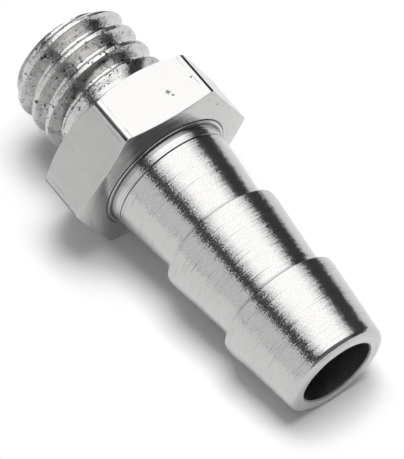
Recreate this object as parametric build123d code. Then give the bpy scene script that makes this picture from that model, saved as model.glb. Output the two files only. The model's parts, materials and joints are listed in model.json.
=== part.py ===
from build123d import *
import os
from math import asin, atan2, cos, degrees, hypot, radians, sin, sqrt, tan

# Hose barb tail, turned and threaded from hexagon bar. All sizes in millimetres.
# It is built standing on its axis (Z up through the tail, 0 at the hexagon's upper corners)
# and is laid down at the end, as it rests on a table.

# Male thread, metric, right-hand
thread_diameter = 5.9
thread_pitch = 1.0
thread_depth = 0.565
thread_flank_angle = 30.0
thread_root_flat = 0.16
thread_length = 4.6
thread_end_chamfer = 0.5
thread_start_angle = -23.0

# Relief where the thread ends, next to the hexagon
relief_width = 0.95
relief_clearance = 0.03

# Hexagon for the spanner
hex_flats = 8.0
hex_height = 2.6
hex_edge_radius = 0.18
hex_face_margin = 0.05
hex_chamfer_angle = 30.0
hex_chamfer_crown = 20.0
hex_dome_radius = 20.5

# Low collar where the tail grows out of the domed hexagon
collar_diameter = 6.2
collar_width = 0.055
collar_cove = 0.1

# Hose tail: barbs that taper towards the nose
barb_count = 3
barb_diameter = 5.8
barb_taper = 0.44
barb_length = 4.0
barb_land = 0.22
nose_radius = 0.28

# Fine line that the tool left round the first barb
scored_line_offset = 0.55
scored_line_width = 0.08
scored_line_depth = 0.04

# Hole through the whole part
bore_diameter = 3.5
bore_edge_break = 0.06
cutter_overrun = 1.0

thread_radius = thread_diameter / 2
root_radius = thread_radius - thread_depth
relief_radius = root_radius - relief_clearance
barb_radius = barb_diameter / 2
barb_tip_radius = barb_radius - barb_taper
bore_radius = bore_diameter / 2
hex_inradius = hex_flats / 2
hex_corner_radius = hex_inradius / cos(radians(30))
collar_radius = collar_diameter / 2
thread_end = -hex_height - thread_length


def dome_rise(radius):
    """Height of the hexagon's dome above the hexagon's corners."""
    return sqrt(hex_dome_radius ** 2 - radius ** 2) - sqrt(hex_dome_radius ** 2 - hex_corner_radius ** 2)


barbs_start = dome_rise(collar_radius) + collar_width
tail_end = barbs_start + barb_count * barb_length


def thread_points():
    """Half section of the thread's blank, its relief under the hexagon, and the collar above."""
    return [
        (0, thread_end),
        (thread_radius - thread_end_chamfer, thread_end),
        (thread_radius, thread_end + thread_end_chamfer),
        (thread_radius, -hex_height),
        (collar_radius, -hex_height),
        (collar_radius, barbs_start),
        (barb_radius + collar_cove, barbs_start),
    ]


def barb_points():
    """Half section of the tail above its cove: each barb is a narrow land and a long taper."""
    slope = barb_taper / (barb_length - barb_land)
    scored_radius = barb_radius - slope * (scored_line_offset - barb_land)
    scored_line = barbs_start + scored_line_offset
    points = [(barb_radius, barbs_start + collar_cove), (barb_radius, barbs_start + barb_land)]
    points += [
        (scored_radius, scored_line - scored_line_width / 2),
        (scored_radius - scored_line_depth, scored_line),
        (scored_radius, scored_line + scored_line_width / 2),
    ]
    for barb in range(1, barb_count):
        start = barbs_start + barb * barb_length
        points += [(barb_tip_radius, start), (barb_radius, start), (barb_radius, start + barb_land)]
    points += [(barb_tip_radius, tail_end), (0, tail_end)]
    return points


def turned_body():
    """Everything the lathe makes but the thread and the bore."""
    with BuildSketch(Plane.XZ) as section:
        with BuildLine():
            blank = Polyline(*thread_points())
            RadiusArc(blank @ 1, (barb_radius, barbs_start + collar_cove), collar_cove)
            tail = Polyline(*barb_points())
            Line(tail @ 1, blank @ 0)
        make_face()
        nose_corner = Plane.XZ.from_local_coords((barb_tip_radius, tail_end))
        nose_edge = section.vertices().sort_by_distance(nose_corner)[0]
        fillet(nose_edge, nose_radius)
    return revolve(section.sketch, Axis.Z)


def hexagon():
    """Bar stock with softened corners, chamfered towards the mating part and domed towards the tail."""
    face_radius = hex_inradius - hex_face_margin
    chamfer_top = (hex_corner_radius - face_radius) * tan(radians(hex_chamfer_angle)) - hex_height
    dome_top = dome_rise(barb_radius)
    outline = RegularPolygon(hex_inradius, 6, major_radius=False, rotation=30)
    outline = fillet(outline.vertices(), hex_edge_radius)
    bar = Pos(0, 0, -hex_height) * extrude(outline, hex_height + dome_top)
    with BuildSketch(Plane.XZ) as envelope:
        with BuildLine():
            face = Line((0, -hex_height), (face_radius, -hex_height))
            chamfer = RadiusArc(face @ 1, (hex_corner_radius, chamfer_top), -hex_chamfer_crown)
            wall = Line(chamfer @ 1, (hex_corner_radius, 0))
            dome = RadiusArc(wall @ 1, (barb_radius, dome_top), -hex_dome_radius)
            Polyline(dome @ 1, (0, dome_top), face @ 0)
        make_face()
    return bar & revolve(envelope.sketch, Axis.Z)


def thread_groove():
    """The V that the die cuts, from just outside the end face to the middle of the relief."""
    outside = thread_radius + relief_clearance
    half_root = thread_root_flat / 2
    half_mouth = half_root + (outside - root_radius) * tan(radians(thread_flank_angle))
    start = thread_end - thread_pitch / 2
    run = -hex_height - relief_width / 2 - start
    path = Pos(0, 0, start) * Helix(pitch=thread_pitch, height=run, radius=root_radius)
    section = Plane.XZ * make_face(Polyline(
        (root_radius, start - half_root),
        (outside, start - half_mouth),
        (outside, start + half_mouth),
        (root_radius, start + half_root),
        close=True,
    ))
    return Rot(0, 0, thread_start_angle) * sweep(section, path=path, is_frenet=True)


def relief_ring():
    """Ring that is turned away between the thread and the hexagon."""
    outside = thread_radius + cutter_overrun
    relief_start = -hex_height - relief_width
    relief_slope = (outside - relief_radius) * tan(radians(thread_flank_angle))
    section = make_face(Polyline(
        (relief_radius, -hex_height),
        (relief_radius, relief_start),
        (outside, relief_start - relief_slope),
        (outside, -hex_height),
        close=True,
    ))
    return revolve(Plane.XZ * section, Axis.Z)


def through_bore():
    """The bore with its two broken edges, as one cutting tool."""
    wide = bore_radius + bore_edge_break + cutter_overrun
    low = thread_end - cutter_overrun
    high = tail_end + cutter_overrun
    section = make_face(Polyline(
        (0, low), (wide, low), (bore_radius, thread_end + bore_edge_break),
        (bore_radius, tail_end - bore_edge_break), (wide, high), (0, high),
        close=True,
    ))
    return revolve(Plane.XZ * section, Axis.Z)


def rest_tilt():
    """Angle that the axis dips when the hexagon's domed edge and the tail both touch the table."""
    slope = atan2(barb_taper, barb_length - barb_land)
    hex_edge = dome_rise(hex_inradius)
    centre_height = tail_end - nose_radius - hex_edge
    centre_radius = barb_tip_radius + nose_radius * tan(slope) - nose_radius / cos(slope)
    drop = hex_inradius - centre_radius
    nose_tilt = atan2(drop, centre_height) - asin(nose_radius / hypot(drop, centre_height))
    last_edge = barbs_start + (barb_count - 1) * barb_length + barb_land
    barb_tilt = atan2(hex_inradius - barb_radius, last_edge - hex_edge)
    return min(nose_tilt, barb_tilt)


def lay_down(part):
    """Turns the axis to +X, dips the nose to the table and centres the part over the origin."""
    tilt = rest_tilt()
    resting = Rot(0, 90 + degrees(tilt), 0) * part
    box = resting.bounding_box()
    centre_x = (box.min.X + box.max.X) / 2
    axis_height = hex_inradius * cos(tilt) + dome_rise(hex_inradius) * sin(tilt)
    return Pos(-centre_x, 0, axis_height) * resting


os.makedirs("parts", exist_ok=True)
barb_tail = turned_body() + hexagon() - thread_groove() - relief_ring() - through_bore()
resting_tail = lay_down(barb_tail)
resting_tail.label = "hose_barb_tail"
export_step(resting_tail, "parts/hose_barb_tail.step")
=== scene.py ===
"""Looks for a nickel-plated hose barb tail: its fine shape, its finish, the stage and the camera."""
import json
from math import atan2, cos, pi, radians, sin, sqrt, tan

import bmesh
import bpy
import numpy as np
from bpy.props import FloatProperty, FloatVectorProperty, IntProperty, PointerProperty
from bpy.types import Operator, Panel, PropertyGroup
from mathutils import Matrix, Vector


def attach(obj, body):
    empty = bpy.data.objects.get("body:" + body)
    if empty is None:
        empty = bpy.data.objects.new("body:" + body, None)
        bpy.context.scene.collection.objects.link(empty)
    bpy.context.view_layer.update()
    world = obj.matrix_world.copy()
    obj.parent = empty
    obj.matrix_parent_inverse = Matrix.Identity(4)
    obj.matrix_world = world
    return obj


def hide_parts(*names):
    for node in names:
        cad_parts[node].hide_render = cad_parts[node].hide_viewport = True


bl_info = {
    "name": "Hose barb tail",
    "version": (1, 0, 0),
    "blender": (4, 5, 0),
    "location": "View3D > Sidebar > Barb Tail",
    "description": "Builds a plated hose barb tail round its packed solid, with a stage and a camera",
    "category": "Object",
}

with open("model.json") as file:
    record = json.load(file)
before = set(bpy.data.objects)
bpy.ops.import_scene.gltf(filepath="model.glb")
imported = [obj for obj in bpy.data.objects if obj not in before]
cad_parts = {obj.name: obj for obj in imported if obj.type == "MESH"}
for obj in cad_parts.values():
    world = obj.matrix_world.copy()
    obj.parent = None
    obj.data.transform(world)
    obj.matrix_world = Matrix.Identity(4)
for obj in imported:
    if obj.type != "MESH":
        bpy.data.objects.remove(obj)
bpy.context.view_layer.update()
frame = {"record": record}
MOUNTS = {mount["name"]: mount for mount in frame["record"]["mounts"]}

MM = 0.001
NODE = "hose_barb_tail"

# Kinds of node that the trees use most
MATH = "ShaderNodeMath"
VECTOR = "ShaderNodeVectorMath"
SPLIT = "ShaderNodeSeparateXYZ"
COMBINE = "ShaderNodeCombineXYZ"
RANGE = "ShaderNodeMapRange"

# Mesh: columns crowd by this share towards the hexagon's edges, a rounding takes at most REACH of
# a side, and its support points stand at SUPPORT times the rounding's own reach
CROWDING = 0.5
REACH = 0.4
SUPPORT = 1.3
ARC_STEPS = 4
NO_LIMIT = 1.0
WELD = 1e-6
SHARP = radians(32)
RELIEF_STEP = 0.1 * MM
TAIL_STEP = 0.4 * MM
BORE_STEP = 0.8 * MM

# Thread
FLANK = radians(30)
CREST_ROUNDING = 0.035 * MM
ROOT_ROUNDING = 0.07 * MM

# Hexagon, and the undercut where its dome meets the collar
SIDES = 6
SIDE_ANGLE = 2 * pi / SIDES
CHAMFER = radians(30)
EDGE_BLEND = 0.012 * MM
HEX_RIM = 0.02 * MM
UNDERCUT_REACH = 0.045 * MM
UNDERCUT_DEPTH = 0.04 * MM
FACE_RINGS = 6
CHAMFER_SHARES = (0.1, 0.3, 0.5, 0.7, 0.9, 1.0)
WALL_SHARES = (0.02, 0.25, 0.5, 0.75, 1.0)
RIM_SHARES = (0.3, 0.7)
DOME_SHARES = (0.0, 0.02, 0.2, 0.4, 0.6, 0.8, 0.98, 1.0)

# Tail: roundings of its edges, and the scored line, whose depth is half of its width
EDGE_ROUNDING = 0.02 * MM
LAND_ROUNDING = 0.03 * MM
LINE_OFFSET = 0.55 * MM
LINE_HALF = 0.035 * MM
LINE_ROUNDING = 0.008 * MM

# Pits and dings: X, Y, Z and radius in millimetres in the part's own frame. Their edges are ragged by
# PIT_RAGGED radii, and their soil is full within PIT_FLOOR radii
PITS = (
    (-1.00, 0.64, 4.00, 0.13), (-0.76, 0.72, 4.00, 0.07), (-1.09, 1.93, 4.00, 0.06),
    (0.11, 2.04, 3.58, 0.05), (0.14, 2.55, 2.93, 0.07), (0.10, 3.30, 2.10, 0.07),
)
PIT_RAGGED = 2.5
PIT_FLOOR = 0.6
PIT_SOIL = 0.75

# Lathe marks: how far rings, grooves and dark marks run round the part, in millimetres, and a groove's
# width as a share of a ring's
RING_RUN = 1.6
GROOVE_RUN = 3
MARK_RUN = 2.2
GROOVE_SHARE = 0.7

# Noise of fixed size: its features in millimetres along, across and up, its detail and roughness, and
# the step that sets it apart from other noise
NOISE = {
    "pit edges": ((0.07, 0.07, 0.07), 2, 0.5, (0, 0, 0)),
    "fine grain": ((0.09, 0.07, 0.07), 2, 0.5, (13, 5, 9)),
    "line breaks": ((0.9, 0.4, 0.4), 3, 0.6, (1, 2, 3)),
    "clouds": ((0.14, 0.06, 0.06), 3, 0.65, (0, 0, 0)),
    "edge band": ((0.5, 0.1, 0.1), 3, 0.6, (4, 4, 7)),
    "tears": ((0.1, 0.4, 0.4), 5, 0.75, (0, 0, 0)),
    "waves": ((0.14, 0.3, 0.3), 5, 0.75, (3, 1, 8)),
    "grit": ((0.04, 0.05, 0.05), 2, 0.5, (6, 6, 2)),
    "cross grit": ((0.04, 0.05, 0.05), 2, 0.5, (7, 3, 5)),
    "patches": ((0.35, 0.5, 0.5), 3, 0.6, (2, 4, 6)),
    "spots": ((0.16, 0.2, 0.2), 2, 0.5, (9, 4, 1)),
    "mottle": ((0.05, 0.05, 0.05), 1, 0.5, (0, 0, 0)),
}

# Ranges that turn noise, or a distance in millimetres, into a mark: from, to, least and most
SPECK = (0.38, 0.70)
LATHE_MARK = (0.60, 0.70, 0, 0.38)
EDGE_LINE = (0.035, 0, 0, 0.5)
LINE_BREAK = (0.42, 0.60)
CLOUD = (0.42, 0.75)
THREAD_PATCH = (0.50, 0.70, 0, 0.2)
THREAD_SPOT = (0.61, 0.68, 0, 0.95)

# Hexagon's flats, in millimetres from the middle of a flat: a drawn line, and a band along each edge that is
# darker and less rough, with how dark, how ragged and how rough it is. The fine grain leans FINE_LEAN times
# as far as the grain
LINE_AT = 2.02
EDGE_AT = (2.20, 2.23)
EDGE_DARKENING = 0.75
EDGE_RAGGED = 0.06
EDGE_ROUGHNESS = 0.1
FINE_LEAN = 3

# Thread, in millimetres from its top or from its crests: torn run-out, rough crests, and a thin painted
# shade on the flanks just below the crests. The other values say how far each leans, and how dark the
# painted shade is
RUN_OUT_START = (-0.38, -0.32)
RUN_OUT_END = (0.05, 0.0)
RUN_OUT_RAGGED = 0.9
CREST = (-0.15, -0.07)
CREST_GRIT = 0.5
PAINTED_CREST_SHADE_START = (-0.27, -0.21)
PAINTED_CREST_SHADE_END = (-0.11, -0.17)
PAINTED_CREST_SHADE_DEPTH = 0.14
TEAR_SWING = 0.35

# Inner corners with painted shade: how far out from its ring each one's middle lies and how far it reaches,
# in millimetres, and its strength. The painted shade is full at half the reach, or at a fixed margin inside
# it
COLLAR_PAINTED_SHADE = (0.03, 0.05, 0.9)
BARB_PAINTED_SHADE = (0.02, 0.075, 0.9)
LINE_PAINTED_SHADE = (-0.06, 0.045, 0.9)
SHOULDER_PAINTED_SHADES = ((0, 0.06, 0.9), (0, 0.31, 0.55))
PAINTED_SHADE_EDGE = 0.03

# Stage: lamps and cards hang STAND metres from the part's middle, and a card's light falls off from
# FALL_START of the way to its long edges
STAND = 0.3
FALL_START = 0.35

# Cards and cloths that only the metal sees: name, both edges in degrees from straight up towards
# the near side, width in metres, light, light left at the long edges, shift in metres, turn in degrees
CARDS = (
    ("overhead_softbox", -50, 33, 0.32, "softbox_light", 0.45, -0.06, 0),
    ("near_flag", 33, 52, 0.60, "flag_light", 1.0, 0.0, 0),
    ("near_card", 52, 90, 0.80, "card_light", 1.0, 0.0, 0),
    ("far_flag", -89, -50, 0.80, "flag_light", 1.0, 0.0, 0),
    ("nose_flag", 19, 80, 0.90, "end_light", 1.0, 0.0, 90),
    ("thread_flag", 38, 80, 0.90, "end_light", 1.0, 0.0, -90),
)

# Lamps that light only the floor: name, both edges, width and light as above
LAMPS = (
    ("overhead_fill", -50, 33, 0.40, "fill_light"),
    ("overhead_key", -14, 11, 0.16, "key_light"),
)

# Camera: sensor height in millimetres, and the nearest and farthest that it sees in metres
SENSOR = 36.0
CLIP_START = 0.005
CLIP_END = 20


def linear(tone):
    """Turns an sRGB hex colour into the linear values that shaders take."""
    parts = [int(tone[i:i + 2], 16) / 255 for i in (1, 3, 5)]
    return [part / 12.92 if part <= 0.04045 else ((part + 0.055) / 1.055) ** 2.4 for part in parts]


def length(name, description, millimetres):
    """A size property, given in millimetres and kept in metres."""
    return FloatProperty(
        name=name, description=description, default=millimetres * MM, unit="LENGTH", precision=5)


def angle(name, description, degrees):
    """An angle property, given in degrees and kept in radians."""
    return FloatProperty(name=name, description=description, default=radians(degrees), subtype="ANGLE")


def colour(name, description, tone):
    """A colour property, given as an sRGB hex value."""
    return FloatVectorProperty(
        name=name, description=description, default=linear(tone), subtype="COLOR", min=0, max=1)


def share(name, description, value):
    """A property from nought to one."""
    return FloatProperty(
        name=name, description=description, default=value, subtype="FACTOR", min=0, max=1)


def amount(name, description, value):
    """A plain number, such as a brightness or how far a surface leans."""
    return FloatProperty(name=name, description=description, default=value)


class BarbTailSizes(PropertyGroup):
    """Sizes of the turned, threaded and milled surfaces."""

    thread_diameter: length("Thread diameter", "Over the crests", 5.9)
    thread_pitch: length("Thread pitch", "Distance from crest to crest", 1.0)
    thread_depth: length("Thread depth", "From crest to root", 0.565)
    root_flat: length("Root flat", "Width of the groove's floor", 0.16)
    thread_length: length("Thread length", "From the end face to the hexagon", 4.6)
    lead_in: length("Lead-in", "Size of the 45 degree chamfer on the thread's end", 0.5)
    first_groove: length("First groove", "From the end face to the first groove's middle, at the top", 0.064)
    relief_width: length("Relief width", "Plain neck between thread and hexagon", 0.95)
    relief_clearance: length("Relief clearance", "How far the relief lies below the roots", 0.03)
    hex_flats: length("Across flats", "Spanner size of the hexagon", 8.0)
    hex_height: length("Hexagon height", "Along the axis", 2.6)
    hex_edge: length("Bar edge", "Width of the small flat drawn along each edge", 0.16)
    hex_face_margin: length("Face margin", "Flat radius less the radius of the turned face", 0.05)
    dome_radius: length("Dome radius", "Of the hexagon's face on the tail's side", 20.5)
    collar_diameter: length("Collar diameter", "Low ring where the tail leaves the dome", 6.2)
    collar_width: length("Collar width", "Along the axis, above the dome", 0.055)
    collar_cove: length("Collar cove", "Radius from the collar's top to the first barb", 0.06)
    barb_diameter: length("Barb diameter", "Over the lands", 5.8)
    barb_taper: length("Barb taper", "Radius lost from land to small end", 0.44)
    barb_length: length("Barb length", "From one shoulder to the next", 4.0)
    barb_land: length("Barb land", "Width of the plain band at each barb's large end", 0.22)
    nose_radius: length("Nose radius", "Rounding of the tail's end", 0.28)
    bore_diameter: length("Bore diameter", "Hole through the part", 3.5)
    bore_break: length("Bore edge", "Break on both edges of the bore", 0.06)
    barb_count: IntProperty(name="Barbs", description="Number of barbs", default=3, min=1)
    side_columns: IntProperty(
        name="Columns per flat", description="Mesh columns across one flat", default=48, min=8)
    row_step: length("Row step", "Longest step between mesh rows on the thread", 0.065)


class BarbTailFinish(PropertyGroup):
    """Colour and fine texture of the plating."""

    plate: colour("Nickel plate", "Reflected colour of the bright plating", "#C6C5C4")
    thread_plate: colour("Thread plate", "Reflected colour of the plating on the cut thread", "#D0CFCE")
    bore: colour("Bore", "Colour of the bore's thinly plated wall", "#B4B4B2")
    # Also the colour of the painted shade in the tail's inner corners and below the thread's crests, and of
    # the dark band along the flats' edges
    soil_and_painted_shade: colour("Soil", "Colour of the dust and oil left in corners and pits", "#343433")
    turned_roughness: share("Turned roughness", "Blur of reflections on turned faces", 0.16)
    flat_roughness: share("Flat roughness", "Blur of reflections on the drawn flats", 0.2)
    thread_roughness: share("Thread roughness", "Blur of reflections on the cut flanks", 0.16)
    bore_roughness: share("Bore roughness", "Blur of reflections in the bore", 0.4)
    thread_grit: amount("Thread grit", "How far the fine tears in the cut thread lean", 0.55)
    run_out_lean: amount("Run-out lean", "How far the torn run-out leans inwards", -0.9)
    speckle: share("Speckle", "Depth of the plating's fine speckle", 0.14)
    # The real speckle is some 0.01 mm, too fine for the picture, so it is drawn as coarse as it shows
    speckle_size: length("Speckle size", "Typical size of one speck", 0.05)
    flat_cloud: share("Flat cloud", "Depth of the dull patches on the flats", 0.07)
    line_width: length("Line width", "Typical width of one lathe line", 0.055)
    ring_swing: amount("Ring swing", "How far lathe lines lean round the axis", 0.2)
    groove_swing: amount("Groove swing", "How far lathe lines lean along the axis", 0.3)
    grit_swing: amount("Grit swing", "How far the plating's fine grit leans", 0.28)
    grain_swing: amount("Grain swing", "How far the flats' grain leans", 0.07)
    grain_width: length("Grain width", "Typical width of one draw line on a flat", 0.06)
    grain_length: length("Grain length", "Typical length of one draw line on a flat", 1.6)


class BarbTailStage(PropertyGroup):
    """Floor, lights and camera."""

    floor: colour("Floor", "Colour of the pale floor", "#FAFAFA")
    floor_glow: amount("Floor glow", "Light added to the floor for the camera and in reflections", 0.04)
    floor_size: length("Floor size", "Side of the square floor", 1600)
    room_light: amount("Room light", "Brightness of the dim room", 0.06)
    softbox_light: amount("Softbox", "Brightness of the overhead softbox", 1.82)
    card_light: amount("Card", "Brightness of the card on the near side", 0.86)
    flag_light: amount("Flags", "Brightness of the dark cloths beside the softbox", 0.06)
    end_light: amount("End cloths", "Brightness of the cloths at both ends", 0.19)
    key_light: amount("Key", "Brightness of the lamp that shapes the shadow", 10.6)
    fill_light: amount("Fill", "Brightness of the wide lamp on the floor", 0.55)
    azimuth: angle("Azimuth", "Camera's turn about the vertical", 50.05)
    elevation: angle("Elevation", "Camera's height angle", 51.94)
    roll: angle("Roll", "Camera's tilt about its view", 2.80)
    distance: length("Distance", "From the camera to its aim", 155.52)
    aim: FloatVectorProperty(
        name="Aim", description="Point in the middle of the picture",
        subtype="TRANSLATION", default=(0.000622, -0.000190, 0.003), precision=6)
    focal: amount("Focal length", "In picture heights", 7.881)


def join(tree, socket, value):
    """Fills an input, or links it to a socket or to a node's first output in use."""
    if isinstance(value, bpy.types.Node):
        value = next(output for output in value.outputs if output.enabled)
    if isinstance(value, bpy.types.NodeSocket):
        tree.links.new(value, socket)
    else:
        socket.default_value = value


def add_node(tree, kind, *values, inputs=None, **settings):
    """Adds a node with its settings, and fills or links its inputs in use, in their order or by name."""
    node = tree.nodes.new(kind)
    for name, value in settings.items():
        setattr(node, name, value)
    in_use = [socket for socket in node.inputs if socket.enabled]
    for socket, value in zip(in_use, values):
        join(tree, socket, value)
    for name, value in (inputs or {}).items():
        join(tree, node.inputs[name], value)
    return node


def bare_material(name):
    """A new material and its tree, with no nodes in it."""
    material = bpy.data.materials.new(name)
    material.use_nodes = True
    material.node_tree.nodes.clear()
    return material, material.node_tree


def add_mesh(context, name, verts, faces, *materials):
    """Adds an object with a plain mesh and its materials."""
    mesh = bpy.data.meshes.new(name)
    mesh.from_pydata(verts, [], faces)
    for material in materials:
        mesh.materials.append(material)
    added = bpy.data.objects.new(name, mesh)
    context.collection.objects.link(added)
    return added


def part_matrix():
    """Places the part's own frame, X along its axis from the hexagon's tail face, as the solid lies."""
    sizes = bpy.context.scene.barb_tail_sizes
    along = Vector(MOUNTS["bore"]["axis"]).normalized()
    side = Vector((0, 1, 0))
    up = along.cross(side)
    origin = Vector(MOUNTS["seat"]["pos_m"]) + along * sizes.hex_height
    turn = Matrix((along, side, up)).transposed().to_4x4()
    return Matrix.Translation(origin) @ turn


def dome_rise(sizes, radius):
    """Height of the hexagon's dome above the hexagon's corners."""
    corner = sizes.hex_flats / 2 / cos(pi / SIDES)
    return np.sqrt(sizes.dome_radius ** 2 - radius ** 2) - sqrt(sizes.dome_radius ** 2 - corner ** 2)


def key_sizes(sizes):
    """Radii and stations that several surfaces share."""
    thread_radius = sizes.thread_diameter / 2
    root_radius = thread_radius - sizes.thread_depth
    collar_radius = sizes.collar_diameter / 2
    barbs_start = float(dome_rise(sizes, collar_radius)) + sizes.collar_width
    return {
        "collar_radius": collar_radius,
        "barbs_start": barbs_start,
        "thread_radius": thread_radius,
        "root_radius": root_radius,
        "relief_radius": root_radius - sizes.relief_clearance,
        "thread_end": -sizes.hex_height - sizes.thread_length,
        "thread_top": -sizes.hex_height - sizes.relief_width,
        "lead_in_radius": thread_radius - sizes.lead_in,
        "barb_radius": sizes.barb_diameter / 2,
        "tip_radius": sizes.barb_diameter / 2 - sizes.barb_taper,
        "tail_end": barbs_start + sizes.barb_count * sizes.barb_length,
        "bore_radius": sizes.bore_diameter / 2,
        "hex_inradius": sizes.hex_flats / 2,
    }


def column_angles(sizes):
    """Angles of the mesh columns, crowded towards the hexagon's edges, all the way round."""
    place = np.arange(SIDES * sizes.side_columns + 1)
    side, within = np.divmod(place, sizes.side_columns)
    t = 2 * within / sizes.side_columns - 1
    return SIDE_ANGLE * side + SIDE_ANGLE / 2 * ((1 + CROWDING) * t - CROWDING * t ** 3)


def turn_of(place):
    """Angle of a place about the axis, from the top towards -Y."""
    return atan2(-place.y, place.z) % (2 * pi)


def rounded(corners):
    """Turns corners (axial, radius, rounding) into a section's points, each rounded corner as an arc."""
    points = []
    for index, (x, r, rounding) in enumerate(corners):
        if not rounding:
            points.append((x, r))
            continue
        here = Vector((x, r))
        before = Vector(corners[index - 1][:2]) - here
        after = Vector(corners[index + 1][:2]) - here
        half = before.angle(after) / 2
        reach = min(rounding / tan(half), REACH * before.length, REACH * after.length)
        radius = reach * tan(half)
        before.normalize()
        after.normalize()
        centre = here + (before + after).normalized() * (radius / sin(half))
        first = here + before * reach - centre
        last = here + after * reach - centre
        sweep = atan2(first.x * last.y - first.y * last.x, first.dot(last))
        points.append(tuple(here + before * reach * SUPPORT))
        for step in range(ARC_STEPS + 1):
            turned = Matrix.Rotation(sweep * step / ARC_STEPS, 2) @ first
            points.append(tuple(centre + turned))
        points.append(tuple(here + after * reach * SUPPORT))
    return points


def spaced(points, step):
    """Adds points to a section so that no run is longer than the step."""
    result = [points[0]]
    for start, end in zip(points, points[1:]):
        count = max(1, int(np.ceil(np.hypot(end[0] - start[0], end[1] - start[1]) / step)))
        for i in range(1, count + 1):
            result.append(tuple(np.array(start) + (np.array(end) - np.array(start)) * i / count))
    return result


def turned_surface_tree():
    """Geometry nodes that carry a section round the axis, with a thread's lead and two limiting cones."""
    tree = bpy.data.node_groups.new("Turned surface", "GeometryNodeTree")
    kinds = (
        ("Section", "Geometry"), ("Columns per side", "Int"), ("Lead", "Float"), ("Lead-in start", "Float"),
        ("Highest", "Float"), ("Lead-in radius", "Float"), ("Run-out radius", "Float"),
        ("Run-out slope", "Float"), ("Weld distance", "Float"), ("Finish", "Material"),
    )
    for name, kind in kinds:
        tree.interface.new_socket(name, in_out="INPUT", socket_type="NodeSocket" + kind)
    tree.interface.new_socket("Surface", in_out="OUTPUT", socket_type="NodeSocketGeometry")
    given = add_node(tree, "NodeGroupInput").outputs
    per_side = given["Columns per side"]

    # A grid with a row for each point of the section and a column for each angle
    rows = add_node(tree, "GeometryNodeAttributeDomainSize", given["Section"]).outputs["Point Count"]
    columns = add_node(tree, MATH, per_side, SIDES, operation="MULTIPLY")
    grid_length = add_node(tree, MATH, rows, 1, operation="SUBTRACT")
    column_count = add_node(tree, MATH, columns, 1, operation="ADD")
    grid = add_node(tree, "GeometryNodeMeshGrid", grid_length, columns, rows, column_count)
    position = add_node(tree, "GeometryNodeInputPosition")
    place = add_node(tree, SPLIT, position).outputs
    counts = []
    for axis, span in (("X", grid_length), ("Y", columns)):
        half = add_node(tree, MATH, span, 2, operation="DIVIDE")
        count = add_node(tree, MATH, place[axis], half, operation="ADD")
        counts.append(add_node(tree, MATH, count, operation="ROUND"))
    row, column = counts
    sample = add_node(
        tree, "GeometryNodeSampleIndex", given["Section"], position, row, data_type="FLOAT_VECTOR")
    point = add_node(tree, SPLIT, sample).outputs

    # Each column's angle, as column_angles gives it
    side = add_node(tree, MATH, column, 0.5, operation="ADD")
    side = add_node(tree, MATH, side, per_side, operation="DIVIDE")
    side = add_node(tree, MATH, side, operation="FLOOR")
    passed = add_node(tree, MATH, side, per_side, operation="MULTIPLY")
    within = add_node(tree, MATH, column, passed, operation="SUBTRACT")
    t = add_node(tree, MATH, within, 2, operation="MULTIPLY")
    t = add_node(tree, MATH, t, per_side, operation="DIVIDE")
    t = add_node(tree, MATH, t, 1, operation="SUBTRACT")
    spread = add_node(tree, MATH, t, 1 + CROWDING, operation="MULTIPLY")
    crowd = add_node(tree, MATH, t, 3, operation="POWER")
    crowd = add_node(tree, MATH, crowd, CROWDING, operation="MULTIPLY")
    crowded = add_node(tree, MATH, spread, crowd, operation="SUBTRACT")
    crowded = add_node(tree, MATH, crowded, 0.5, operation="MULTIPLY")
    sides = add_node(tree, MATH, side, crowded, operation="ADD")
    turn = add_node(tree, MATH, sides, SIDE_ANGLE, operation="MULTIPLY")

    # The section's point, moved on by the lead and kept inside the lead-in and run-out cones
    share_of_turn = add_node(tree, MATH, turn, 2 * pi, operation="DIVIDE")
    shift = add_node(tree, MATH, share_of_turn, given["Lead"], operation="MULTIPLY")
    axial = add_node(tree, MATH, point["X"], shift, operation="ADD")
    axial = add_node(tree, MATH, axial, given["Highest"], operation="MINIMUM")
    lead_in = add_node(tree, MATH, axial, given["Lead-in start"], operation="SUBTRACT")
    lead_in = add_node(tree, MATH, given["Lead-in radius"], lead_in, operation="ADD")
    run_out = add_node(tree, MATH, given["Highest"], axial, operation="SUBTRACT")
    run_out = add_node(tree, MATH, run_out, given["Run-out slope"], operation="MULTIPLY")
    run_out = add_node(tree, MATH, given["Run-out radius"], run_out, operation="ADD")
    radius = add_node(tree, MATH, point["Z"], lead_in, operation="MINIMUM")
    radius = add_node(tree, MATH, radius, run_out, operation="MINIMUM")
    sine = add_node(tree, MATH, turn, operation="SINE")
    across = add_node(tree, MATH, radius, sine, operation="MULTIPLY")
    across = add_node(tree, MATH, across, -1, operation="MULTIPLY")
    cosine = add_node(tree, MATH, turn, operation="COSINE")
    upward = add_node(tree, MATH, radius, cosine, operation="MULTIPLY")
    moved = add_node(tree, COMBINE, axial, across, upward)

    shaped = add_node(tree, "GeometryNodeSetPosition", grid, inputs={"Position": moved})
    welded = add_node(
        tree, "GeometryNodeMergeByDistance", shaped, inputs={"Distance": given["Weld distance"]})
    real = add_node(tree, "GeometryNodeRealizeInstances", welded)
    finished = add_node(tree, "GeometryNodeSetMaterial", real, inputs={"Material": given["Finish"]})
    add_node(tree, "NodeGroupOutput", finished)
    return tree


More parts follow.
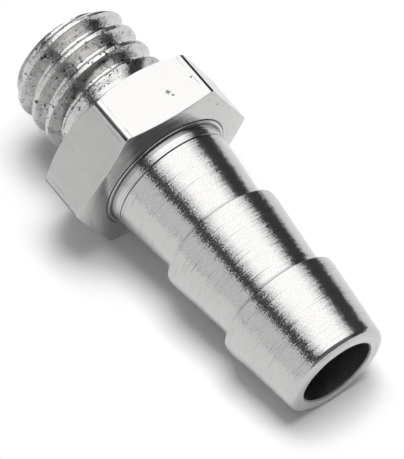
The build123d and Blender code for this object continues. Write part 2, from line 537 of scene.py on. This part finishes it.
def turned_surface(context, name, section, material, **inputs):
    """Adds an object whose plain mesh is the section carried round the axis."""
    sizes = context.scene.barb_tail_sizes
    tree = bpy.data.node_groups.get("Turned surface") or turned_surface_tree()
    surface = add_mesh(context, name, [(x, 0, r) for x, r in section], [])
    lathe = surface.modifiers.new("Turned surface", "NODES")
    lathe.node_group = tree
    values = {
        "Columns per side": sizes.side_columns, "Lead": 0.0, "Lead-in start": -NO_LIMIT,
        "Highest": NO_LIMIT, "Lead-in radius": NO_LIMIT, "Run-out radius": NO_LIMIT,
        "Run-out slope": 0.0, "Weld distance": WELD, "Finish": material, **inputs}
    for socket in tree.interface.items_tree:
        if socket.in_out == "INPUT" and socket.name in values:
            lathe[socket.identifier] = values[socket.name]
    evaluated = surface.evaluated_get(context.evaluated_depsgraph_get())
    mesh = bpy.data.meshes.new_from_object(evaluated)
    surface.modifiers.remove(lathe)
    surface.data = mesh
    if not mesh.polygons:
        raise RuntimeError(f"{name} came out empty")
    return surface


def along_part(tree):
    """Object coordinates in millimetres in the part's own frame: X along the axis."""
    inverse = part_matrix().inverted()
    coordinates = add_node(tree, "ShaderNodeTexCoord").outputs["Object"]
    location = tuple(value / MM for value in inverse.translation)
    return add_node(
        tree, "ShaderNodeMapping", coordinates, location, tuple(inverse.to_euler()), (1 / MM,) * 3,
        vector_type="POINT")


def from_axis(tree, place):
    """A place's own three values, and its distance from the part's axis."""
    parts = add_node(tree, SPLIT, place).outputs
    across = add_node(tree, COMBINE, 0, parts["Y"], parts["Z"])
    return parts, add_node(tree, VECTOR, across, operation="LENGTH")


def lathe_place(tree, place):
    """The place on a turned face, with the distance that the tool has travelled as its first value."""
    parts, radius = from_axis(tree, place)
    travel = add_node(tree, MATH, parts["X"], radius, operation="ADD")
    return add_node(tree, COMBINE, travel, parts["Y"], parts["Z"])


def pattern(tree, place, size, detail=2.0, roughness=0.5, apart=(0, 0, 0)):
    """Noise from 0 to 1 with features of a size in millimetres, set apart from other noise at its place."""
    moved = add_node(tree, VECTOR, place, apart, operation="ADD")
    stretched = add_node(tree, VECTOR, moved, tuple(1 / value for value in size), operation="MULTIPLY")
    return add_node(tree, "ShaderNodeTexNoise", stretched, 1.0, detail, roughness)


def centred(tree, value, swing):
    """Noise turned into a swing of the given size about nought."""
    value = add_node(tree, MATH, value, 0.5, operation="SUBTRACT")
    return add_node(tree, MATH, value, swing, operation="MULTIPLY")


def tilted_normal(tree, around, along):
    """The surface normal, leaned round the part's axis and along its profile by two small angles."""
    axis = tuple(part_matrix().to_3x3() @ Vector((1, 0, 0)))
    leaned = normal = add_node(tree, "ShaderNodeNewGeometry").outputs["Normal"]
    ring = add_node(tree, VECTOR, axis, normal, operation="CROSS_PRODUCT")
    ring = add_node(tree, VECTOR, ring, operation="NORMALIZE")
    profile = add_node(tree, VECTOR, normal, ring, operation="CROSS_PRODUCT")
    for direction, lean in ((ring, around), (profile, along)):
        step = add_node(tree, VECTOR, direction, lean, operation="SCALE")
        leaned = add_node(tree, VECTOR, leaned, step, operation="ADD")
    return add_node(tree, VECTOR, leaned, operation="NORMALIZE")


def plate_material(name, roughness):
    """A metal material with its tree and its shader, ready for a pattern."""
    material = bpy.data.materials.new(name)
    material.use_nodes = True
    tree = material.node_tree
    shader = tree.nodes["Principled BSDF"]
    shader.inputs["Metallic"].default_value = 1
    shader.inputs["Roughness"].default_value = roughness
    return material, tree, shader


def plated_tone(tree, shader, place, soils_and_painted_shade, strength, plate):
    """Plate colour, darkened by the deepest of its marks, dirt and painted shade, or by the fine speckle
    that the plating bath leaves.
    """
    finish = bpy.context.scene.barb_tail_finish
    specks = pattern(tree, place, (finish.speckle_size / MM,) * 3, detail=1, apart=(17, 29, 41))
    deepest = add_node(tree, RANGE, specks, *SPECK, 0, strength)
    for soil_and_painted_shade in soils_and_painted_shade:
        deepest = add_node(tree, MATH, deepest, soil_and_painted_shade, operation="MAXIMUM")
    tone = add_node(
        tree, "ShaderNodeMix", deepest, (*plate, 1), (*finish.soil_and_painted_shade, 1), data_type="RGBA")
    join(tree, shader.inputs["Base Color"], tone)


def pitted(tree, place):
    """Soil in the small pits and dings that the photo shows, one value for each."""
    ragged = pattern(tree, place, *NOISE["pit edges"])
    soils_and_painted_shade = []
    for x, y, z, radius in PITS:
        away = add_node(tree, VECTOR, place, (x, y, z), operation="DISTANCE")
        near = add_node(tree, MATH, away, centred(tree, ragged, radius * PIT_RAGGED), operation="ADD")
        soils_and_painted_shade.append(add_node(tree, RANGE, near, radius, radius * PIT_FLOOR, 0, PIT_SOIL))
    return soils_and_painted_shade


def painted_corner_shade(tree, place):
    """Painted shade in the inner corners beside the collar, in the scored line and under each barb, one
    value for each.
    """
    sizes = bpy.context.scene.barb_tail_sizes
    key = key_sizes(sizes)
    start, barb = key["barbs_start"], key["barb_radius"]
    corners = [
        (start - sizes.collar_width, key["collar_radius"], COLLAR_PAINTED_SHADE),
        (start, barb, BARB_PAINTED_SHADE),
        (start + LINE_OFFSET, barb, LINE_PAINTED_SHADE),
    ]
    for number in range(1, sizes.barb_count):
        shoulder = start + number * sizes.barb_length
        corners += [(shoulder, key["tip_radius"], corner) for corner in SHOULDER_PAINTED_SHADES]
    parts, radius = from_axis(tree, place)
    section = add_node(tree, COMBINE, parts["X"], radius)
    soils_and_painted_shade = []
    for station, ring, (outward, reach, strength) in corners:
        middle = (station / MM, ring / MM + outward, 0)
        away = add_node(tree, VECTOR, section, middle, operation="DISTANCE")
        full = min(reach / 2, reach - PAINTED_SHADE_EDGE)
        soils_and_painted_shade.append(add_node(tree, RANGE, away, reach, full, 0, strength))
    return soils_and_painted_shade


def turned_nickel():
    """Bright nickel over turned brass: fine rings that follow the lathe tool and break up reflections."""
    finish = bpy.context.scene.barb_tail_finish
    material, tree, shader = plate_material("nickel_turned", finish.turned_roughness)
    part_place = along_part(tree)
    place = lathe_place(tree, part_place)
    width = finish.line_width / MM
    speck = (finish.speckle_size / MM,) * 3
    rings = pattern(tree, place, (width, RING_RUN, RING_RUN), roughness=0.6)
    groove = (width * GROOVE_SHARE, GROOVE_RUN, GROOVE_RUN)
    grooves = pattern(tree, place, groove, detail=3, roughness=0.7, apart=(31, 7, 3))
    grit = pattern(tree, place, speck, detail=1, apart=(8, 2, 6))
    around = add_node(
        tree, MATH, centred(tree, rings, finish.ring_swing), centred(tree, grit, finish.grit_swing),
        operation="ADD")
    along = centred(tree, grooves, finish.groove_swing)
    join(tree, shader.inputs["Normal"], tilted_normal(tree, around, along))
    marks = pattern(tree, place, (width, MARK_RUN, MARK_RUN), roughness=0.6, apart=(5, 11, 17))
    # Lathe marks, dirt in the pits, and painted shade in the inner corners
    soils_and_painted_shade = [
        add_node(tree, RANGE, marks, *LATHE_MARK), *pitted(tree, part_place), *painted_corner_shade(tree, part_place)]
    plated_tone(tree, shader, part_place, soils_and_painted_shade, finish.speckle, finish.plate)
    return material


def drawn_nickel():
    """Nickel over drawn bar: shallow grain, a broken line and a dark ragged band near each edge, and a few
    pits.
    """
    finish = bpy.context.scene.barb_tail_finish
    half_flats = bpy.context.scene.barb_tail_sizes.hex_flats / 2 / MM
    material, tree, shader = plate_material("nickel_drawn_flats", finish.flat_roughness)
    place = along_part(tree)
    width = finish.grain_width / MM
    grain = pattern(tree, place, (finish.grain_length / MM, width, width), detail=3, roughness=0.6)
    fine = pattern(tree, place, *NOISE["fine grain"])
    around = centred(tree, grain, finish.grain_swing)
    along = centred(tree, fine, FINE_LEAN * finish.grain_swing)
    join(tree, shader.inputs["Normal"], tilted_normal(tree, around, along))

    # Distance from the middle of the flat, to both sides
    parts = add_node(tree, SPLIT, place).outputs
    turn = add_node(tree, MATH, parts["Y"], parts["Z"], operation="ARCTAN2")
    turn = add_node(tree, MATH, turn, SIDE_ANGLE / 2, operation="ADD")
    turn = add_node(tree, MATH, turn, SIDE_ANGLE, operation="FLOORED_MODULO")
    turn = add_node(tree, MATH, turn, SIDE_ANGLE / 2, operation="SUBTRACT")
    middle = add_node(tree, MATH, turn, operation="TANGENT")
    middle = add_node(tree, MATH, middle, half_flats, operation="MULTIPLY")
    middle = add_node(tree, MATH, middle, operation="ABSOLUTE")

    dulled = add_node(tree, RANGE, middle, *EDGE_AT, finish.flat_roughness, EDGE_ROUGHNESS)
    join(tree, shader.inputs["Roughness"], dulled)
    offset = add_node(tree, MATH, middle, LINE_AT, operation="SUBTRACT")
    offset = add_node(tree, MATH, offset, operation="ABSOLUTE")
    broken = pattern(tree, place, *NOISE["line breaks"])
    line = add_node(
        tree, MATH, add_node(tree, RANGE, offset, *EDGE_LINE), add_node(tree, RANGE, broken, *LINE_BREAK),
        operation="MULTIPLY")
    clouds = pattern(tree, place, *NOISE["clouds"])
    cloud = add_node(tree, RANGE, clouds, *CLOUD, 0, finish.flat_cloud)
    # A dark ragged band along each edge of the flat
    edge_ragging = pattern(tree, place, *NOISE["edge band"])
    edge = add_node(tree, MATH, middle, centred(tree, edge_ragging, EDGE_RAGGED), operation="ADD")
    edge = add_node(tree, RANGE, edge, *EDGE_AT, 0, EDGE_DARKENING)
    soils_and_painted_shade = [line, cloud, edge, *pitted(tree, place)]
    plated_tone(tree, shader, place, soils_and_painted_shade, finish.speckle / 2, finish.plate)
    return material


def threaded_nickel():
    """Nickel over a cut thread: torn flanks, painted shade below the crests, a few pits and a ragged
    run-out.
    """
    finish = bpy.context.scene.barb_tail_finish
    key = key_sizes(bpy.context.scene.barb_tail_sizes)
    material, tree, shader = plate_material("nickel_threaded", finish.thread_roughness)
    place = along_part(tree)
    parts, radius = from_axis(tree, place)
    thread_top, thread_crest = key["thread_top"] / MM, key["thread_radius"] / MM
    marks = {}
    for name, value, at, reach, strength in (
            ("run_out_start", parts["X"], thread_top, RUN_OUT_START, 1),
            ("run_out_end", parts["X"], thread_top, RUN_OUT_END, 1),
            ("crest", radius, thread_crest, CREST, 1),
            ("painted_crest_shade_start", radius, thread_crest, PAINTED_CREST_SHADE_START, PAINTED_CREST_SHADE_DEPTH),
            ("painted_crest_shade_end", radius, thread_crest, PAINTED_CREST_SHADE_END, 1)):
        marks[name] = add_node(tree, RANGE, value, at + reach[0], at + reach[1], 0, strength)
    run_out = add_node(tree, MATH, marks["run_out_start"], marks["run_out_end"], operation="MULTIPLY")
    # Painted shade in a thin band on the flanks just below the crests
    painted_crest_shade = add_node(tree, MATH, marks["painted_crest_shade_start"], marks["painted_crest_shade_end"], operation="MULTIPLY")

    torn = pattern(tree, place, *NOISE["tears"])
    wavy = pattern(tree, place, *NOISE["waves"])
    ragged = pattern(tree, place, *NOISE["grit"])
    cross = pattern(tree, place, *NOISE["cross grit"])
    lean = add_node(
        tree, MATH, centred(tree, ragged, RUN_OUT_RAGGED), finish.run_out_lean, operation="ADD")
    lean = add_node(tree, MATH, run_out, lean, operation="MULTIPLY")
    along = add_node(tree, MATH, centred(tree, torn, TEAR_SWING), lean, operation="ADD")
    along = add_node(tree, MATH, along, centred(tree, cross, finish.thread_grit), operation="ADD")
    swing = add_node(tree, MATH, marks["crest"], CREST_GRIT, operation="MULTIPLY")
    swing = add_node(tree, MATH, finish.thread_grit, swing, operation="ADD")
    grit = centred(tree, ragged, swing)
    around = add_node(tree, MATH, centred(tree, wavy, TEAR_SWING), grit, operation="ADD")
    join(tree, shader.inputs["Normal"], tilted_normal(tree, around, along))

    patches = pattern(tree, place, *NOISE["patches"])
    spots = pattern(tree, place, *NOISE["spots"])
    # Painted shade below the crests, and dark patches and spots at random
    soils_and_painted_shade = [
        painted_crest_shade, add_node(tree, RANGE, patches, *THREAD_PATCH), add_node(tree, RANGE, spots, *THREAD_SPOT)]
    plated_tone(tree, shader, place, soils_and_painted_shade, finish.speckle, finish.thread_plate)
    return material


def bored_nickel():
    """The bore's wall, which plating reaches only thinly: darker and duller than the outside."""
    finish = bpy.context.scene.barb_tail_finish
    material, tree, shader = plate_material("nickel_bored", finish.bore_roughness)
    mottle = pattern(tree, along_part(tree), *NOISE["mottle"])
    tone = add_node(
        tree, "ShaderNodeMix", mottle, (*finish.soil_and_painted_shade, 1), (*finish.bore, 1), data_type="RGBA")
    join(tree, shader.inputs["Base Color"], tone)
    return material


def finish_for(name):
    """Makes each finish once and gives it by its name."""
    makers = {"nickel_turned": turned_nickel, "nickel_drawn_flats": drawn_nickel,
              "nickel_threaded": threaded_nickel, "nickel_bored": bored_nickel}
    return bpy.data.materials.get(name) or makers[name]()


class BARBTAIL_OT_thread(Operator):
    """Add the helical thread with its end face and the relief next to the hexagon"""

    bl_idname = "barbtail.thread"
    bl_label = "Thread"

    def execute(self, context):
        sizes = context.scene.barb_tail_sizes
        key = key_sizes(sizes)
        pitch = sizes.thread_pitch
        half_root = sizes.root_flat / 2
        half_mouth = half_root + sizes.thread_depth * tan(FLANK)
        turns = int(np.ceil((key["thread_top"] - key["thread_end"]) / pitch)) + 2
        corners = []
        for turn in range(-2, turns):
            groove = key["thread_end"] + sizes.first_groove + turn * pitch
            corners += [
                (groove - half_mouth, key["thread_radius"], CREST_ROUNDING),
                (groove - half_root, key["root_radius"], ROOT_ROUNDING),
                (groove + half_root, key["root_radius"], ROOT_ROUNDING),
                (groove + half_mouth, key["thread_radius"], CREST_ROUNDING),
            ]
        corners[0] = (*corners[0][:2], 0)
        corners[-1] = (*corners[-1][:2], 0)
        section = spaced(rounded(corners), sizes.row_step)
        thread = turned_surface(
            context, "thread_surface", section, finish_for("nickel_threaded"), **{
                "Lead": pitch, "Lead-in start": key["thread_end"], "Highest": key["thread_top"],
                "Lead-in radius": key["lead_in_radius"], "Run-out radius": key["relief_radius"],
                "Run-out slope": 1 / tan(FLANK)})
        mouth_radius = key["bore_radius"] + sizes.bore_break
        self.face_end(thread.data, key["thread_end"], mouth_radius, column_angles(sizes))
        relief = [(key["thread_top"], key["relief_radius"]), (-sizes.hex_height, key["relief_radius"])]
        turned_surface(context, "relief_surface", spaced(relief, RELIEF_STEP), finish_for("nickel_turned"))
        return {"FINISHED"}

    def face_end(self, mesh, station, radius, angles):
        """Cuts the thread off square and closes the cut as a flat ring down to the bore's mouth."""
        whole = bmesh.new()
        whole.from_mesh(mesh)
        cut = bmesh.ops.bisect_plane(
            whole, geom=[*whole.verts, *whole.edges, *whole.faces], dist=WELD,
            plane_co=(station, 0, 0), plane_no=(-1, 0, 0), clear_outer=True)
        edges = [item for item in cut["geom_cut"] if isinstance(item, bmesh.types.BMEdge)]
        rim = sorted({vert for edge in edges for vert in edge.verts}, key=lambda vert: turn_of(vert.co))
        mouth = [whole.verts.new((station, -radius * sin(a), radius * cos(a))) for a in angles[:-1]]
        mouth.sort(key=lambda vert: turn_of(vert.co))
        finish_slot = len(mesh.materials)
        at, inner = 0, 0
        while at < len(rim) or inner < len(mouth):
            here, there = rim[at % len(rim)], mouth[inner % len(mouth)]
            mouth_done = inner == len(mouth)
            if mouth_done or at < len(rim) and turn_of(rim[at].co) <= turn_of(mouth[inner].co):
                at += 1
                corner = rim[at % len(rim)]
            else:
                inner += 1
                corner = mouth[inner % len(mouth)]
            whole.faces.new((here, there, corner)).material_index = finish_slot
        mesh.materials.append(finish_for("nickel_turned"))
        whole.to_mesh(mesh)
        whole.free()


class BARBTAIL_OT_hexagon(Operator):
    """Add the hexagon with its drawn edges, its chamfered face and its dome"""

    bl_idname = "barbtail.hexagon"
    bl_label = "Hexagon"

    def execute(self, context):
        sizes = context.scene.barb_tail_sizes
        key = key_sizes(sizes)
        angles = column_angles(sizes)[:-1]
        outline = self.outline(sizes, key, angles)
        even = np.ones_like(angles)
        low = -sizes.hex_height
        face_radius = key["hex_inradius"] - sizes.hex_face_margin
        face_radii = np.linspace(key["relief_radius"], face_radius, FACE_RINGS)
        rings = [(low * even, radius * even) for radius in face_radii]
        chamfer_end = low + (outline - face_radius) * tan(CHAMFER)
        for part in CHAMFER_SHARES:
            radius = face_radius + (outline - face_radius) * part
            rings.append((low + (chamfer_end - low) * part, radius))
        first_flat = len(rings) - 1
        wall_end = dome_rise(sizes, outline) - HEX_RIM
        for part in WALL_SHARES:
            rings.append((chamfer_end + (wall_end - chamfer_end) * part, outline))
        last_flat = len(rings) - 1
        for part in RIM_SHARES:
            bend = part * pi / 2
            rings.append((wall_end + HEX_RIM * sin(bend), outline - HEX_RIM * (1 - cos(bend))))
        foot = key["collar_radius"] + UNDERCUT_REACH
        for part in DOME_SHARES:
            radius = (outline - HEX_RIM) * (1 - part) + foot * part
            rings.append((dome_rise(sizes, radius), radius))
        undercut = key["barbs_start"] - sizes.collar_width - UNDERCUT_DEPTH
        rings.append((undercut * even, key["collar_radius"] * even))

        stations = np.array([ring[0] for ring in rings])
        radii = np.array([ring[1] for ring in rings])
        verts = np.stack([stations, -radii * np.sin(angles), radii * np.cos(angles)], axis=2)
        count = len(angles)
        faces = []
        for ring in range(len(rings) - 1):
            for column in range(count):
                after = (column + 1) % count
                faces.append((ring * count + column, ring * count + after,
                              (ring + 1) * count + after, (ring + 1) * count + column))
        surface = add_mesh(
            context, "hexagon_surface", verts.reshape(-1, 3).tolist(), faces,
            finish_for("nickel_turned"), finish_for("nickel_drawn_flats"))
        for polygon in surface.data.polygons:
            polygon.material_index = int(first_flat <= polygon.index // count < last_flat)
        return {"FINISHED"}

    def outline(self, sizes, key, angles):
        """The bar's radius at each angle: six flats, and a small drawn flat along each edge."""
        from_flat = np.abs((angles + SIDE_ANGLE / 2) % SIDE_ANGLE - SIDE_ANGLE / 2)
        from_edge = SIDE_ANGLE / 2 - from_flat
        flat = key["hex_inradius"] / np.cos(from_flat)
        corner = key["hex_inradius"] / cos(SIDE_ANGLE / 2)
        edge = (corner - sizes.hex_edge / 2 * tan(SIDE_ANGLE / 2)) / np.cos(from_edge)
        gap = np.clip(0.5 + (edge - flat) / (2 * EDGE_BLEND), 0, 1)
        return edge * (1 - gap) + flat * gap - EDGE_BLEND * gap * (1 - gap)


class BARBTAIL_OT_tail(Operator):
    """Add the collar, the barbs and the nose"""

    bl_idname = "barbtail.tail"
    bl_label = "Barbed tail"

    def execute(self, context):
        sizes = context.scene.barb_tail_sizes
        key = key_sizes(sizes)
        barb, tip, start = key["barb_radius"], key["tip_radius"], key["barbs_start"]
        slope = sizes.barb_taper / (sizes.barb_length - sizes.barb_land)
        line = start + LINE_OFFSET
        line_radius = barb - slope * (LINE_OFFSET - sizes.barb_land)
        corners = [
            (start - sizes.collar_width - UNDERCUT_DEPTH, key["collar_radius"], 0),
            (start, key["collar_radius"], EDGE_ROUNDING),
            (start, barb, sizes.collar_cove),
            (start + sizes.barb_land, barb, LAND_ROUNDING),
            (line - LINE_HALF, line_radius, LINE_ROUNDING),
            (line, line_radius - LINE_HALF, 0),
            (line + LINE_HALF, line_radius, LINE_ROUNDING),
        ]
        for number in range(1, sizes.barb_count):
            shoulder = start + number * sizes.barb_length
            corners += [
                (shoulder, tip, LAND_ROUNDING),
                (shoulder, barb, EDGE_ROUNDING),
                (shoulder + sizes.barb_land, barb, LAND_ROUNDING),
            ]
        corners.append((key["tail_end"], tip, sizes.nose_radius))
        corners.append((key["tail_end"], key["bore_radius"] + sizes.bore_break, 0))
        section = spaced(rounded(corners), TAIL_STEP)
        turned_surface(context, "tail_surface", section, finish_for("nickel_turned"))
        return {"FINISHED"}


class BARBTAIL_OT_bore(Operator):
    """Add the bore with both of its broken edges"""

    bl_idname = "barbtail.bore"
    bl_label = "Bore"

    def execute(self, context):
        sizes = context.scene.barb_tail_sizes
        key = key_sizes(sizes)
        wide = key["bore_radius"] + sizes.bore_break
        wall = [(key["tail_end"], wide), (key["tail_end"] - sizes.bore_break, key["bore_radius"]),
                (key["thread_end"] + sizes.bore_break, key["bore_radius"]), (key["thread_end"], wide)]
        turned_surface(context, "bore_surface", spaced(wall, BORE_STEP), finish_for("nickel_bored"))
        return {"FINISHED"}


class BARBTAIL_OT_weld(Operator):
    """Weld the surfaces into the one piece that the real fitting is, and lay it where the solid lies"""

    bl_idname = "barbtail.weld"
    bl_label = "Weld and lay down"

    def execute(self, context):
        names = ("thread_surface", "relief_surface", "hexagon_surface", "tail_surface", "bore_surface")
        whole = bmesh.new()
        finishes = []
        for name in names:
            surface = bpy.data.objects[name]
            start = len(whole.faces)
            whole.from_mesh(surface.data)
            whole.faces.ensure_lookup_table()
            for face in whole.faces[start:]:
                material = surface.data.materials[face.material_index]
                if material not in finishes:
                    finishes.append(material)
                face.material_index = finishes.index(material)
            old = surface.data
            bpy.data.objects.remove(surface)
            bpy.data.meshes.remove(old)
        bmesh.ops.remove_doubles(whole, verts=whole.verts, dist=WELD)
        bmesh.ops.dissolve_degenerate(whole, dist=WELD / 10, edges=whole.edges)
        open_edges = [edge for edge in whole.edges if len(edge.link_faces) != 2]
        if open_edges:
            places = [tuple(round(value / MM, 3) for value in edge.verts[0].co) for edge in open_edges[:6]]
            raise RuntimeError(f"{len(open_edges)} edges of the fitting are open or doubled, near {places}")
        bmesh.ops.recalc_face_normals(whole, faces=whole.faces)
        whole.transform(part_matrix())
        mesh = bpy.data.meshes.new("plated_barb_tail")
        whole.to_mesh(mesh)
        whole.free()
        for material in finishes:
            mesh.materials.append(material)
        mesh.shade_smooth()
        mesh.set_sharp_from_angle(angle=SHARP)
        fitting = bpy.data.objects.new("plated_barb_tail", mesh)
        context.collection.objects.link(fitting)
        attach(fitting, "root")
        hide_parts(NODE)
        return {"FINISHED"}


class BARBTAIL_OT_stage(Operator):
    """Add the pale floor and the soft studio light"""

    bl_idname = "barbtail.stage"
    bl_label = "Stage"

    def execute(self, context):
        stage = context.scene.barb_tail_stage
        half = stage.floor_size / 2
        corners = [(-half, -half, 0), (half, -half, 0), (half, half, 0), (-half, half, 0)]
        add_mesh(context, "table_top", corners, [(0, 1, 2, 3)], self.table_laminate(stage))
        self.room(context, stage)
        for name, first, last, width, light, edge_light, shift, turn in CARDS:
            self.card(context, name, radians(first), radians(last), width,
                      getattr(stage, light), edge_light, shift, radians(turn))
        for name, first, last, width, light in LAMPS:
            self.lamp(context, name, radians(first), radians(last), width, getattr(stage, light))
        return {"FINISHED"}

    def table_laminate(self, stage):
        """White laminate: matt, and lifted to the photo's white where the camera or the metal sees it."""
        material, tree = bare_material("table_laminate")
        strength = add_node(
            tree, MATH, self.seen_directly(tree), stage.floor_glow, operation="MULTIPLY")
        matt = add_node(tree, "ShaderNodeBsdfDiffuse", (*stage.floor, 1))
        glow = add_node(tree, "ShaderNodeEmission", inputs={"Strength": strength})
        both = add_node(tree, "ShaderNodeAddShader", matt, glow)
        add_node(tree, "ShaderNodeOutputMaterial", both)
        return material

    def room(self, context, stage):
        """A dim even room, white where the camera or the metal sees past the floor."""
        world = bpy.data.worlds.new("studio_room")
        world.use_nodes = True
        context.scene.world = world
        tree = world.node_tree
        tree.nodes.clear()
        strength = add_node(tree, RANGE, self.seen_directly(tree), 0, 1, stage.room_light, 1)
        light = add_node(tree, "ShaderNodeBackground", (1, 1, 1, 1), strength)
        add_node(tree, "ShaderNodeOutputWorld", light)

    def seen_directly(self, tree):
        """One for rays from the camera and for rays that metal or glass sends on, nought for the rest."""
        path = add_node(tree, "ShaderNodeLightPath").outputs
        seen = add_node(tree, MATH, path["Is Camera Ray"], path["Is Glossy Ray"], operation="MAXIMUM")
        return add_node(tree, MATH, seen, path["Is Transmission Ray"], operation="MAXIMUM")

    def hang(self, holder, middle, shift=0.0, turn=0.0):
        """Hangs a lamp or card round the part and facing it, at an angle from +Z towards -Y."""
        hung = Matrix.Translation((shift, -STAND * sin(middle), STAND * cos(middle)))
        holder.matrix_world = Matrix.Rotation(turn, 4, "Z") @ hung @ Matrix.Rotation(middle, 4, "X")
        holder.visible_camera = False

    def lamp(self, context, name, first, last, width, brightness):
        """A soft lamp that lights the floor only, between two angles from +Z towards -Y."""
        lamp = bpy.data.lights.new(name, "AREA")
        lamp.shape = "RECTANGLE"
        lamp.size = width
        lamp.size_y = 2 * STAND * tan((last - first) / 2)
        lamp.energy = brightness * pi * lamp.size * lamp.size_y
        holder = bpy.data.objects.new(name, lamp)
        context.collection.objects.link(holder)
        self.hang(holder, (first + last) / 2)
        holder.visible_glossy = False

    def card(self, context, name, first, last, width, brightness, edge_light, shift, turn):
        """A card, cloth or softbox front that only the metal sees, between two angles."""
        x = width / 2
        y = STAND * tan((last - first) / 2)
        material, tree = bare_material(name)
        place = add_node(tree, "ShaderNodeTexCoord").outputs["Object"]
        across = add_node(tree, SPLIT, place).outputs["Y"]
        across = add_node(tree, MATH, across, operation="ABSOLUTE")
        fall = add_node(
            tree, RANGE, across, FALL_START * y, y, brightness, brightness * edge_light,
            interpolation_type="SMOOTHSTEP")
        glow = add_node(tree, "ShaderNodeEmission", inputs={"Strength": fall})
        add_node(tree, "ShaderNodeOutputMaterial", glow)
        corners = [(-x, -y, 0), (-x, y, 0), (x, y, 0), (x, -y, 0)]
        holder = add_mesh(context, name, corners, [(0, 1, 2, 3)], material)
        self.hang(holder, (first + last) / 2, shift, turn)
        holder.visible_diffuse = False
        holder.visible_transmission = False
        holder.visible_shadow = False


class BARBTAIL_OT_camera(Operator):
    """Add the camera at the photograph's view"""

    bl_idname = "barbtail.camera"
    bl_label = "Camera"

    def execute(self, context):
        stage = context.scene.barb_tail_stage
        forward = Vector((-sin(stage.azimuth) * cos(stage.elevation),
                          cos(stage.azimuth) * cos(stage.elevation), -sin(stage.elevation)))
        level = forward.cross(Vector((0, 0, 1))).normalized()
        right = level * cos(stage.roll) + level.cross(forward) * sin(stage.roll)
        up = right.cross(forward)
        data = bpy.data.cameras.new("photo_camera")
        data.sensor_fit = "VERTICAL"
        data.sensor_height = SENSOR
        data.lens = stage.focal * SENSOR
        data.clip_start = CLIP_START
        data.clip_end = CLIP_END
        camera = bpy.data.objects.new("photo_camera", data)
        place = Vector(stage.aim) - forward * stage.distance
        turn = Matrix((right, up, -forward)).transposed().to_4x4()
        camera.matrix_world = Matrix.Translation(place) @ turn
        context.collection.objects.link(camera)
        context.scene.camera = camera
        return {"FINISHED"}


class BARBTAIL_PT_panel(Panel):
    """Lists the steps that build the fitting"""

    bl_label = "Hose barb tail"
    bl_idname = "BARBTAIL_PT_panel"
    bl_space_type = "VIEW_3D"
    bl_region_type = "UI"
    bl_category = "Barb Tail"

    def draw(self, context):
        for operator in OPERATORS:
            self.layout.operator(operator.bl_idname)


OPERATORS = (
    BARBTAIL_OT_camera, BARBTAIL_OT_thread, BARBTAIL_OT_hexagon, BARBTAIL_OT_tail,
    BARBTAIL_OT_bore, BARBTAIL_OT_weld, BARBTAIL_OT_stage,
)
CLASSES = (BarbTailSizes, BarbTailFinish, BarbTailStage, *OPERATORS, BARBTAIL_PT_panel)


def register():
    for item in CLASSES:
        bpy.utils.register_class(item)
    bpy.types.Scene.barb_tail_sizes = PointerProperty(type=BarbTailSizes)
    bpy.types.Scene.barb_tail_finish = PointerProperty(type=BarbTailFinish)
    bpy.types.Scene.barb_tail_stage = PointerProperty(type=BarbTailStage)


def unregister():
    del bpy.types.Scene.barb_tail_stage
    del bpy.types.Scene.barb_tail_finish
    del bpy.types.Scene.barb_tail_sizes
    for item in reversed(CLASSES):
        bpy.utils.unregister_class(item)


def main():
    register()
    bpy.ops.barbtail.camera()
    bpy.ops.barbtail.thread()
    bpy.ops.barbtail.hexagon()
    bpy.ops.barbtail.tail()
    bpy.ops.barbtail.bore()
    bpy.ops.barbtail.weld()
    bpy.ops.barbtail.stage()
    bpy.context.scene.view_settings.view_transform = "Standard"


if __name__ == "__main__":
    main()
